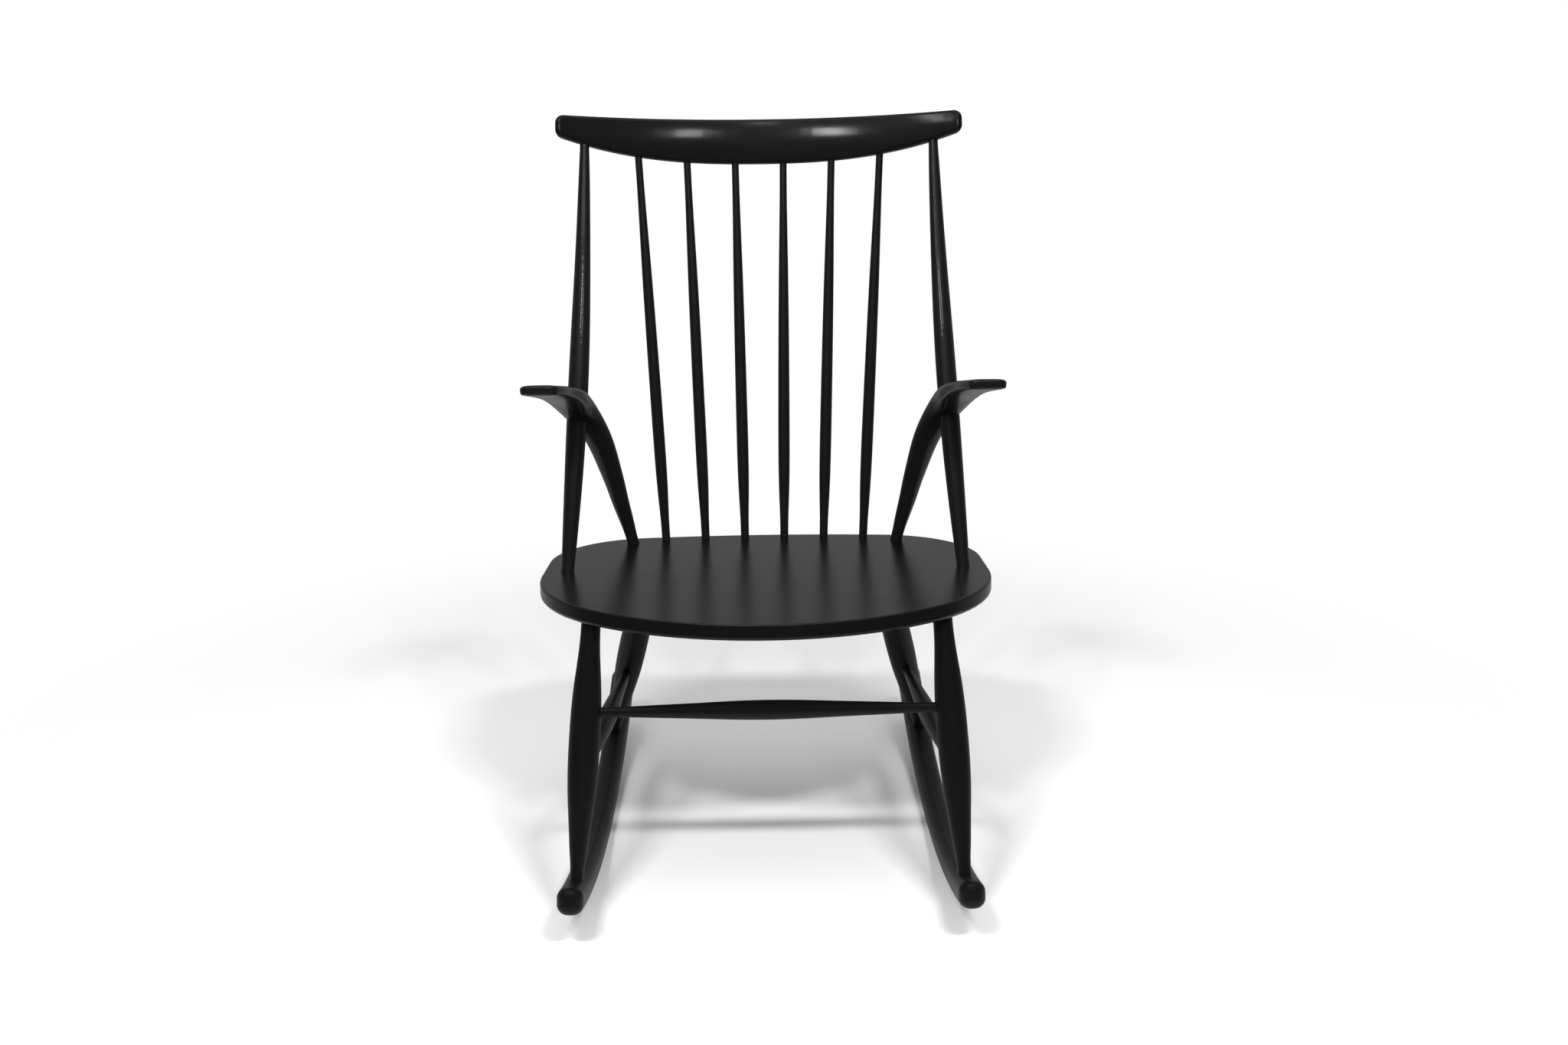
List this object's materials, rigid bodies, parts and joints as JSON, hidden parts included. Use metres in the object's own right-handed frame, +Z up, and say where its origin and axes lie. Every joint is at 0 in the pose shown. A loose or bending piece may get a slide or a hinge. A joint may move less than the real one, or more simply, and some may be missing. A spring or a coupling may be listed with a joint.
{
  "type": "rocking chair",
  "caption": "Spindle-back rocking chair in black lacquered wood, with a bowed flat seat, a bent crest rail, sculpted arms on through posts, and long bent rockers.",
  "frame": {"origin": "on the floor, on the chair's middle plane, midway between the front and back ends of the rockers", "axes": "+X to the right as seen from the front, +Y to the back of the chair, +Z up; the chair faces -Y"},
  "size_m": [0.61, 0.7814, 0.9404],
  "materials": {
    "seat_lacquer": "satin black lacquer over beech, worn to a soft sheen",
    "bent_lacquer": "semi-gloss black lacquer over bent beech",
    "turned_lacquer": "semi-gloss black lacquer over turned beech",
    "arm_lacquer": "semi-gloss black lacquer over carved beech, polished by hands"
  },
  "bodies": {
    "root": {"seat": "seat_lacquer", "crest_rail": "bent_lacquer", "back_post_left": "turned_lacquer", "back_post_right": "turned_lacquer", "spindle_1": "turned_lacquer", "spindle_2": "turned_lacquer", "spindle_3": "turned_lacquer", "spindle_4": "turned_lacquer", "spindle_5": "turned_lacquer", "spindle_6": "turned_lacquer", "arm_left": "arm_lacquer", "arm_right": "arm_lacquer", "front_leg_left": "turned_lacquer", "front_leg_right": "turned_lacquer", "rear_leg_left": "turned_lacquer", "rear_leg_right": "turned_lacquer", "side_stretcher_left": "turned_lacquer", "side_stretcher_right": "turned_lacquer", "rocker_left": "bent_lacquer", "rocker_right": "bent_lacquer", "front_stretcher": "turned_lacquer"}
  },
  "joints": []
}
